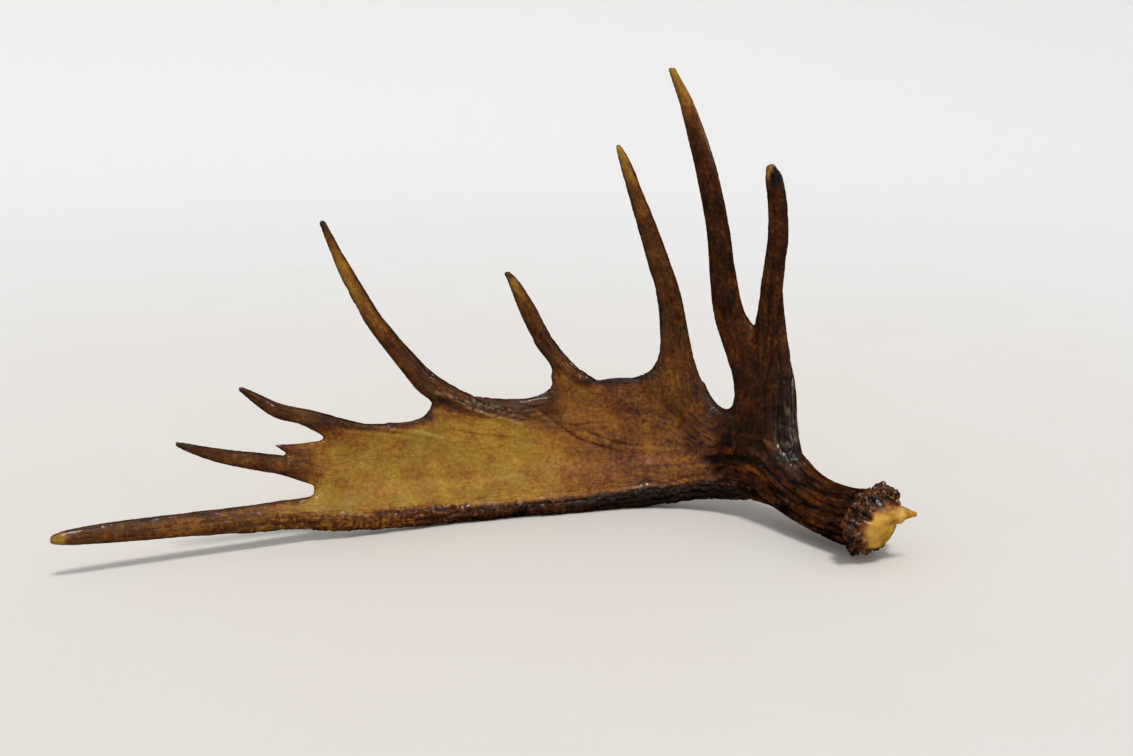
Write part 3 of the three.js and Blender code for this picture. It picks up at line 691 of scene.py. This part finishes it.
# Painted highlight: raised vessel lines are painted lighter. Their creases are painted darker.
shade -= 0.16 * np.clip(vessel_height, -1.5, 1.5) * (1 - 0.9 * fork) * (1 - 0.6 * band)
shade -= (0.15 * under + 0.08 * rim + 0.10 * fork + 0.10 * stem + 0.08 * brow + 0.08 * tines) * grit
shade += 0.16 * band * (1 - ease(shade, 0.45, 0.7))
behind = ease(facing[:, 1], 0.0, 0.5) * plate
shade += 0.10 * behind
shade += 0.08 * knob + 0.7 * healed_hole - 0.34 * hole_lip * (1 - healed_hole)
streaky = 0.25 * plate + stem + brow + 0.8 * rim + brink + under + 0.8 * tines + 0.7 * band + 0.3 * behind
streaky = np.clip(streaky, 0, 1) * (1 - 0.5 * hub)


def keep_place(mesh, name, values):
    layer = mesh.attributes.new(name, "FLOAT_VECTOR", "POINT")
    layer.data.foreach_set("vector", (np.asarray(values) / 1000).astype(np.float32).ravel())


write_points(bone_mesh, bone)
keep_value(bone_mesh, "shade", np.clip(shade, 0, 1))
keep_value(bone_mesh, "streaky", streaky)
on_shoulder = np.exp(-(((z_plan - shoulder) / 6) ** 2)) * ease(x_plan, -320, -260)
dry_share = 0.24 * np.clip(plate + fork, 0, 1) * (1 - 0.8 * band) * (1 - 0.8 * on_shoulder)
keep_value(bone_mesh, "dryness", 0.12 + dry_share)

# Painted highlights: pale glint lines along four ridges between the second and third tines, glint specks on
# the rim's shoulder, and thin glint lines beside the furrows on the brow branch's edge.
painted_glint_lines = [
    [[-150, 152], [-132, 144], [-110, 134], [-88, 122]],
    [[-128, 137], [-108, 127], [-86, 117], [-60, 108], [-44, 103]],
    [[-116, 139], [-92, 128], [-66, 117], [-40, 108]],
    [[-96, 133], [-70, 123], [-40, 114], [-20, 106]],
]
painted_glints = sum(along_line(line, 1.1) for line in painted_glint_lines) * ease(grit + 0.3 * small_lumps, -0.12, 0.2)
painted_glints = painted_glints + 0.6 * on_shoulder * ease(grit + small_lumps, 0.3, 0.6) * (1 - 0.75 * ease(x_plan, -80, 30))
groove_side = np.exp(-(((np.abs(wide_swell) - 0.2) / 0.03) ** 2))
painted_glints = painted_glints + 0.6 * brow_edge * groove_side * broken * ease(170 - z_plan, 0, 60)
keep_value(bone_mesh, "painted_glints", np.clip(painted_glints, 0, 1))
weathered = tines + 0.25 * brow + 1.1 * band + 0.3 * rim
keep_value(bone_mesh, "weathered", 0.45 * np.clip(weathered, 0, 1.1))
keep_place(bone_mesh, "grain", grain)

# Flat places need fewer faces than furrowed ones.
MOST_FACES = 195000
bone_mesh = with_modifier(bone_mesh, "DECIMATE", ratio=MOST_FACES / (2 * len(bone_mesh.polygons)))
write_points(bone_mesh, np.clip(read_points(bone_mesh), cad_low, cad_high))


def colour(red, green, blue):
    """A screen colour as Blender's own light values."""
    parts = [c / 255 for c in (red, green, blue)]
    return tuple(c / 12.92 if c <= 0.04045 else ((c + 0.055) / 1.055) ** 2.4 for c in parts) + (1.0,)


class Wiring:
    """Short ways to put a material's nodes together."""

    def __init__(self, name):
        self.material = bpy.data.materials.new(name)
        self.material.use_nodes = True
        self.tree = self.material.node_tree
        self.shader = self.tree.nodes["Principled BSDF"]

    def fill(self, node, inputs):
        """Links a node's inputs, or sets those that are plain values."""
        for key, value in inputs.items():
            if isinstance(value, bpy.types.NodeSocket):
                self.tree.links.new(value, node.inputs[key])
            else:
                node.inputs[key].default_value = value

    def put(self, kind, inputs=None, **settings):
        node = self.tree.nodes.new(kind)
        for key, value in settings.items():
            setattr(node, key, value)
        self.fill(node, inputs or {})
        return node

    def kept(self, name, output="Fac"):
        """What a skin keeps at each point under this name."""
        return self.put("ShaderNodeAttribute", attribute_name=name).outputs[output]

    def own_place(self):
        return self.put("ShaderNodeTexCoord").outputs["Object"]

    def maths(self, operation, a, b, clamp=False):
        return self.put("ShaderNodeMath", {0: a, 1: b}, operation=operation, use_clamp=clamp).outputs[0]

    def plus(self, a, b):
        return self.maths("ADD", a, b)

    def minus(self, a, b, clamp=False):
        return self.maths("SUBTRACT", a, b, clamp)

    def times(self, a, b, clamp=False):
        return self.maths("MULTIPLY", a, b, clamp)

    def stretched(self, place, across, along):
        return self.put("ShaderNodeVectorMath", {0: place, 1: (1 / across, 1 / across, 1 / along)},
                        operation="MULTIPLY").outputs[0]

    def speckle(self, place, scale, detail=4.0, rough=0.55):
        return self.put("ShaderNodeTexNoise", {"Vector": place, "Scale": scale, "Detail": detail,
                                               "Roughness": rough}).outputs[0]

    def ramp(self, value, stops):
        node = self.put("ShaderNodeValToRGB", {0: value})
        marks = node.color_ramp.elements
        while len(marks) < len(stops):
            marks.new(0.5)
        for mark, (place, tint) in zip(marks, stops):
            mark.position = place
            mark.color = tint
        return node.outputs[0]

    def mix(self, share, a, b):
        return self.put("ShaderNodeMix", {0: share, 6: a, 7: b}, data_type="RGBA").outputs[2]

    def bump(self, height, depth, strength):
        """Relief that is too small for the skin's faces. Its depth is in metres."""
        return self.put("ShaderNodeBump", {"Height": height, "Distance": depth,
                                           "Strength": strength}).outputs[0]


bone_look = Wiring("varnished antler")
grain_place = bone_look.kept("grain", "Vector")
body_place = bone_look.own_place()
streaks = bone_look.speckle(bone_look.stretched(grain_place, 0.0018, 0.030), 1.0, 5.0, 0.6)
hairs = bone_look.speckle(bone_look.stretched(grain_place, 0.0007, 0.009), 1.0, 3.0, 0.6)
mottle = bone_look.speckle(body_place, 230.0, 6.0, 0.75)
clouds = bone_look.speckle(body_place, 42.0, 4.0, 0.6)
tone = bone_look.kept("shade")
streak_share = bone_look.kept("streaky")
for pattern, amount in ((streaks, 0.44), (hairs, 0.26)):
    centred = bone_look.times(bone_look.minus(pattern, 0.5), amount)
    tone = bone_look.plus(tone, bone_look.times(centred, streak_share))
for pattern, amount in ((mottle, 0.66), (clouds, 0.44)):
    centred = bone_look.minus(pattern, 0.5)
    tone = bone_look.plus(tone, bone_look.times(centred, amount))
bone_tint = bone_look.ramp(tone, [
    (0.00, colour(214, 194, 140)),
    (0.15, colour(186, 151, 60)),
    (0.30, colour(162, 124, 34)),
    (0.45, colour(138, 82, 20)),
    (0.60, colour(88, 42, 13)),
    (0.75, colour(49, 23, 11)),
    (0.90, colour(24, 13, 9)),
    (1.00, colour(10, 7, 6)),
])

# Moss-green and rusty clouds show where the bone is pale. A cloud is given as its scale, detail, threshold
# and gain, the darkest tone it shows on, and its colour.
for scale, detail, threshold, gain, darkest, tint in (
    (34.0, 6.0, 0.41, 4.0, 0.68, colour(98, 88, 34)),
    (75.0, 5.0, 0.53, 3.2, 0.95, colour(158, 92, 20)),
):
    cloud = bone_look.minus(bone_look.speckle(body_place, scale, detail, 0.7), threshold)
    cloud = bone_look.times(cloud, gain, True)
    cloud = bone_look.times(cloud, bone_look.minus(darkest, tone, True))
    bone_tint = bone_look.mix(cloud, bone_tint, tint)

# Weathered streaks are greyer, and painted highlights lie pale along some ridges.
worn_streak = bone_look.times(bone_look.minus(streaks, 0.46), 5.0, True)
worn_streak = bone_look.times(worn_streak, bone_look.kept("weathered"))
bone_tint = bone_look.mix(worn_streak, bone_tint, colour(112, 86, 48))
bone_tint = bone_look.mix(bone_look.times(bone_look.kept("painted_glints"), 0.5), bone_tint, colour(180, 150, 116))

# The varnish has sunk in where the bone is dry, so its coat is thinner there and the bone duller.
dryness = bone_look.kept("dryness")
relief = bone_look.plus(bone_look.times(streaks, 0.7), bone_look.times(hairs, 0.3))
relief = bone_look.plus(relief, bone_look.times(mottle, 0.35))
bone_look.fill(bone_look.shader, {
    "Base Color": bone_tint,
    "Roughness": bone_look.plus(bone_look.times(mottle, 0.30), dryness),
    "Specular IOR Level": 0.24,
    "Coat Weight": bone_look.minus(0.56, bone_look.times(dryness, 1.4), True),
    "Coat Roughness": 0.15,
    "Normal": bone_look.bump(relief, 0.0016, 1.0),
})


def set_down(name, mesh, look):
    """Puts a finished piece in the frame: plan millimetres become the frame's metres."""
    piece = put_in(name, mesh)
    write_points(mesh, read_points(mesh) + FOOT)
    mesh.materials.append(look.material)
    mesh.polygons.foreach_set("use_smooth", [True] * len(mesh.polygons))
    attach(piece, "root")
    return piece


antler = set_down("antler", bone_mesh, bone_look)
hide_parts("beam", "brow_palm", "brow_tine_long", "brow_tine_short", "main_palm", "palm_tine_1",
            "palm_tine_2", "palm_tine_3", "palm_tine_4", "palm_tine_5", "terminal_tine")

# ---- The burr: a crown of pearls round the beam's foot ----
# The burr is a collar of rough bone beads that grew round the pedicle. The beads are irregular, run together
# in clusters, and are stained nearly black with red-brown between them.

BURR_MIDDLE = np.array([319.5, -137.0, 42.8])
burr_axis = np.array([0.69, -0.71, -0.15])
burr_axis /= np.linalg.norm(burr_axis)
burr_left = np.cross(burr_axis, [0, 0, 1])
burr_left /= np.linalg.norm(burr_left)
burr_down = np.cross(burr_axis, burr_left)
BURR_GRAIN = 0.00085  # the crown's own fineness, in metres


def off_burr(left, down, along):
    """A place given from the burr's middle: to the left, down, and along its axis."""
    return BURR_MIDDLE + np.outer(left, burr_left) + np.outer(down, burr_down) + np.outer(along, burr_axis)


def seen_from_burr(points):
    """The other way round: left, down and along for each place, and how far it is from the axis."""
    away = points - BURR_MIDDLE
    along = away @ burr_axis
    reach = np.linalg.norm(away - np.outer(along, burr_axis), axis=1)
    return away @ burr_left, away @ burr_down, along, reach


def bead(middle, size, squash=(1, 1, 1), rings=10, sides=14):
    """A rounded lump, squashed to the left, down and along the axis."""
    turn = np.linspace(0, np.pi, rings)[:, None]
    angle = (np.arange(sides) / sides * 2 * np.pi)[None, :]
    x = (np.sin(turn) * np.cos(angle)).ravel() * size * squash[0]
    y = (np.sin(turn) * np.sin(angle)).ravel() * size * squash[1]
    z = (np.cos(turn) * np.ones_like(angle)).ravel() * size * squash[2]
    points = np.asarray(middle) + np.outer(x, burr_left) + np.outer(y, burr_down) + np.outer(z, burr_axis)
    return points, ring_faces(rings, sides, inward=True)


def turned(profile, sides=72):
    """A round shape turned about the burr's axis from [radius, how far along]."""
    angle = np.arange(sides) / sides * 2 * np.pi
    points = [off_burr(radius * np.cos(angle), radius * np.sin(angle), np.full(sides, along))
              for radius, along in profile]
    return np.vstack(points), ring_faces(len(profile), sides)


PIT = (25.0, -13.5)  # a small dark pit among the beads, left and down from the burr's middle
PIT_REACH = 3.4
PIT_DEPTH = 6.0
PIT_CLEARANCE = 5.0  # no bead's middle is nearer to it


def pit_at(left, down):
    """1 in the middle of the pit, fading to 0 past its edge."""
    return np.exp(-((np.hypot(left - PIT[0], down - PIT[1]) / PIT_REACH) ** 3))


CROWDED_ANGLE = 3.57  # where the beads crowd together, round the axis from its left
# Rows of beads: how far along the axis, how far from it, and how many.
bead_rows = [(-11, 29, 18), (-6, 34, 24), (0, 36.5, 27), (5, 34, 25), (8.5, 28.5, 19)]
dice = np.random.default_rng(7)
crown = [turned([[0.1, -17], [24, -17], [28, -10], [33, -5], [34.5, 1], [32, 6], [26, 8.5], [0.1, 8.5]])]
for row, (along, reach, count) in enumerate(bead_rows):
    for k in range(count):
        angle = (k + 0.5 * (row % 2) + dice.uniform(-0.35, 0.35)) / count * 2 * np.pi
        crowded = np.exp(-(((angle - CROWDED_ANGLE) / 0.5) ** 2))
        size = (1.7 + 4.0 * dice.random() ** 1.6) * (1 + 0.25 * crowded)
        out = reach + dice.uniform(-2.4, 1.8) + 4.5 * crowded
        left, down = out * np.cos(angle), out * np.sin(angle)
        middle = off_burr(left, down, along + dice.uniform(-1.5, 1.5))[0]
        if np.hypot(left - PIT[0], down - PIT[1]) > PIT_CLEARANCE:
            crown.append(bead(middle, size, dice.uniform(0.7, 1.35, 3)))
burr_mesh = fuse("burr", crown, BURR_GRAIN)
burr_edges = read_edges(burr_mesh)
burr = rub_smooth(read_points(burr_mesh), burr_edges, 4)
burr_facing = read_normals(burr_mesh, burr)
burr_lumps = noise_at(burr, 3.2, 3.2, 5)
burr = burr + burr_facing * (0.9 * burr_lumps + 0.9 * noise_at(burr, 7, 7, 6))[:, None]
bead_left, bead_down, bead_along, bead_reach = seen_from_burr(burr)
in_pit = pit_at(bead_left, bead_down) * ease(bead_along, -4, 3)
burr = burr - np.outer(PIT_DEPTH * in_pit, burr_axis)
burr = np.clip(burr, cad_low, cad_high)
write_points(burr_mesh, burr)
keep_value(burr_mesh, "reach", np.clip((bead_reach - 26) / 14, 0, 1))
keep_value(burr_mesh, "crevice", soften(np.clip(-burr_lumps, 0, 1), burr_edges, 1))
keep_value(burr_mesh, "pit", in_pit)

burr_look = Wiring("stained burr")
burr_place = burr_look.own_place()
blotch = burr_look.speckle(burr_place, 150.0, 4.0, 0.65)
patch = burr_look.speckle(burr_place, 60.0, 3.0, 0.5)
burr_tone = burr_look.times(burr_look.kept("reach"), 0.16)
in_crevice = burr_look.kept("crevice")
in_dark_pit = burr_look.kept("pit")
for pattern, amount in ((blotch, 0.7), (patch, 0.7), (in_crevice, 0.3), (in_dark_pit, 0.7)):
    burr_tone = burr_look.plus(burr_tone, burr_look.times(pattern, amount))
burr_tint = burr_look.ramp(burr_tone, [
    (0.62, colour(158, 116, 42)),
    (0.72, colour(130, 70, 24)),
    (0.83, colour(74, 41, 19)),
    (0.97, colour(28, 18, 12)),
])
burr_look.fill(burr_look.shader, {
    "Base Color": burr_tint,
    "Roughness": 0.4,
    "Coat Weight": 0.14,
    "Coat Roughness": 0.14,
    "Normal": burr_look.bump(blotch, 0.0012, 0.8),
})
burr_piece = set_down("burr", burr_mesh, burr_look)
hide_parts("beam")

# ---- The seal: the smooth domed face the antler was shed from ----
# When an antler drops, its foot breaks off the skull in a clean dome of pale bone. A splinter of the skull's
# own bone still stands on the seal's edge.

SEAL_GRAIN = 0.0009  # the dome's own fineness, in metres
seal_dome = bead(BURR_MIDDLE + 6 * burr_axis, 1.0, (30, 30, 18), 30, 48)
SPIKE_ROOT = np.array([335.0, -148.0, 52.0])
SPIKE_TIP = np.array([366.5, -142.0, 51.5])
SPIKE_HALF = 15.5  # about half its height at the root
SPIKE_FLATNESS = 0.6  # its width as a share of its height
SPIKE_SINK = 0.35  # the share of its length that goes on into the dome
spike_line = SPIKE_TIP - SPIKE_ROOT
spike_length = np.linalg.norm(spike_line)
spike_line = spike_line / spike_length
spike_flat = np.cross(spike_line, [0, 0, 1])
spike_flat /= np.linalg.norm(spike_flat)
spike_rise = np.cross(spike_flat, spike_line)
spike_rings, spike_sides = 18, 20
spike_points = []
for r in range(spike_rings):
    way = r / (spike_rings - 1)
    thick = SPIKE_HALF * (1 - way) ** 0.75 + 0.8
    middle = SPIKE_ROOT + spike_line * (spike_length * (way * (1 + SPIKE_SINK) - SPIKE_SINK))
    for s in range(spike_sides):
        angle = s / spike_sides * 2 * np.pi
        beside = spike_flat * (thick * SPIKE_FLATNESS * np.cos(angle))
        spike_points.append(middle + beside + spike_rise * (thick * np.sin(angle)))
spike_faces = ring_faces(spike_rings, spike_sides)
spike_faces.append(tuple(reversed(range(spike_sides))))
spike_faces.append(tuple(range((spike_rings - 1) * spike_sides, spike_rings * spike_sides)))
seal_mesh = fuse("seal", [seal_dome, (np.array(spike_points), spike_faces)], SEAL_GRAIN)
seal = rub_smooth(read_points(seal_mesh), read_edges(seal_mesh), 5)
seal_facing = read_normals(seal_mesh, seal)
seal_left, seal_down, seal_along, _ = seen_from_burr(seal)
on_spike = ease(seal_along, 18, 27)
rough_side = ease(-seal_down - 0.3 * seal_left, 8, 24) * (1 - on_spike)
in_seal_pit = pit_at(seal_left, seal_down)
seal_swell = 0.6 * noise_at(seal, 14, 14, 8)
seal_swell += (0.3 + 1.2 * rough_side + 0.5 * on_spike) * noise_at(seal, 5, 5, 9)
seal_swell += 2.8 * on_spike * noise_at(seal, 9, 9, 15) - PIT_DEPTH * in_seal_pit
seal = np.clip(seal + seal_facing * seal_swell[:, None], cad_low, cad_high)
write_points(seal_mesh, seal)
seal_reach = seen_from_burr(seal)[3]
stain = 0.5 * ease(seal_reach, 24, 31) * (1 - on_spike) + 0.6 * rough_side
brown_spot = np.exp(-((((seal - SPIKE_ROOT) @ spike_line - 19) / 3) ** 2))
stain += 0.16 * on_spike * brown_spot + in_seal_pit
keep_value(seal_mesh, "stain", np.clip(stain, 0, 1))

seal_look = Wiring("shed face")
seal_place = seal_look.own_place()
seal_cloud = seal_look.times(seal_look.speckle(seal_place, 60.0, 5.0, 0.6), 0.75)
seal_tint = seal_look.ramp(seal_look.plus(seal_look.times(seal_look.kept("stain"), 0.55), seal_cloud), [
    (0.26, colour(212, 170, 70)),
    (0.40, colour(186, 138, 38)),
    (0.55, colour(146, 92, 30)),
    (0.70, colour(98, 48, 20)),
    (0.90, colour(26, 15, 10)),
])
seal_look.fill(seal_look.shader, {
    "Base Color": seal_tint,
    "Roughness": 0.38,
    "Coat Weight": 0.25,
    "Coat Roughness": 0.2,
    "Normal": seal_look.bump(seal_look.speckle(seal_place, 320.0, 4.0, 0.6), 0.0005, 0.7),
})
seal_piece = set_down("seal", seal_mesh, seal_look)
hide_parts("beam")

# ---- The stage: a plain pale floor that rises far away on every side ----
# The floor is a wide shallow bowl of matt white card, so it fills the view from any side.

LEVEL_REACH = 2.6  # metres of level card round the antler
RISE = 2.0  # the radius it curves up with, in metres
bowl_profile = [(0.0, 0.0), (1.2, 0.0), (LEVEL_REACH, 0.0)]
for lift in np.linspace(0.1, np.pi / 2, 14):
    bowl_profile.append((LEVEL_REACH + RISE * np.sin(lift), RISE - RISE * np.cos(lift)))
bowl_points, bowl_sides = [], 96
for reach, height in bowl_profile:
    for s in range(bowl_sides):
        angle = s / bowl_sides * 2 * np.pi
        bowl_points.append((reach * np.cos(angle), reach * np.sin(angle), height))
floor_mesh = mesh_from("floor", bowl_points, ring_faces(len(bowl_profile), bowl_sides, inward=True))
floor_mesh.polygons.foreach_set("use_smooth", [True] * len(floor_mesh.polygons))
floor_look = Wiring("white card")
floor_place = floor_look.own_place()
floor_reach = floor_look.put("ShaderNodeVectorMath", {0: floor_place}, operation="LENGTH").outputs["Value"]
floor_cloud = floor_look.times(floor_look.speckle(floor_place, 5.0, 3.0), 0.25)
floor_tone = floor_look.plus(floor_look.times(floor_reach, 0.25), floor_cloud)
floor_look.fill(floor_look.shader, {
    "Base Color": floor_look.ramp(floor_tone, [(0.2, colour(235, 228, 219)), (0.6, colour(239, 237, 234))]),
    "Roughness": 0.9,
    "Specular IOR Level": 0.1,
})
floor_mesh.materials.append(floor_look.material)
floor = put_in("floor", floor_mesh)
floor.visible_glossy = False

# ---- Light and camera ----
# One broad soft light stands high and a little to the front, and a pale world fills the shadows. Two small
# lamps glint in the varnish. They light the bone alone, so the floor stays even from every side.

scene = bpy.context.scene
scene.view_settings.view_transform = "Standard"
world = bpy.data.worlds.new("studio")
world.use_nodes = True
sky = world.node_tree.nodes["Background"]
sky.inputs["Color"].default_value = (0.93, 0.96, 1.0, 1.0)
sky.inputs["Strength"].default_value = 0.53
world.cycles_visibility.glossy = False
scene.world = world

sun = bpy.data.lights.new("softbox", "SUN")
sun.energy = 1.48
sun.angle = np.radians(13)
softbox = put_in("softbox", sun)
softbox.rotation_euler = (-Vector((0.15, -0.35, 1.0))).to_track_quat("-Z", "Y").to_euler()

lamplit = bpy.data.collections.new("lamplit")
for lit_piece in (antler, burr_piece, seal_piece):
    lamplit.objects.link(lit_piece)


def hang_lamp(name, place, aim, power):
    """A small round lamp that lights the bone alone."""
    light = bpy.data.lights.new(name, "AREA")
    light.shape = "DISK"
    light.size = 0.2
    light.energy = power
    light.color = (1.0, 0.98, 0.95)
    lamp = put_in(name, light)
    lamp.location = place
    lamp.rotation_euler = (Vector(aim) - Vector(place)).to_track_quat("-Z", "Y").to_euler()
    lamp.visible_camera = False
    lamp.light_linking.receiver_collection = lamplit


hang_lamp("front", (0.25, -1.7, 2.1), (0.0, 0.0, 0.15), 15)
hang_lamp("side", (2.3, -0.8, 0.9), (0.25, 0.0, 0.15), 6.5)

CAMERA_PITCH = 14  # degrees down
camera_data = bpy.data.cameras.new("camera")
camera_data.lens = 50
camera_data.sensor_width = 36
camera_data.clip_end = 50
camera = put_in("camera", camera_data)
camera.location = (0.078, -1.6356, 0.5864)
camera.rotation_euler = (np.radians(90 - CAMERA_PITCH), 0, 0)
scene.camera = camera
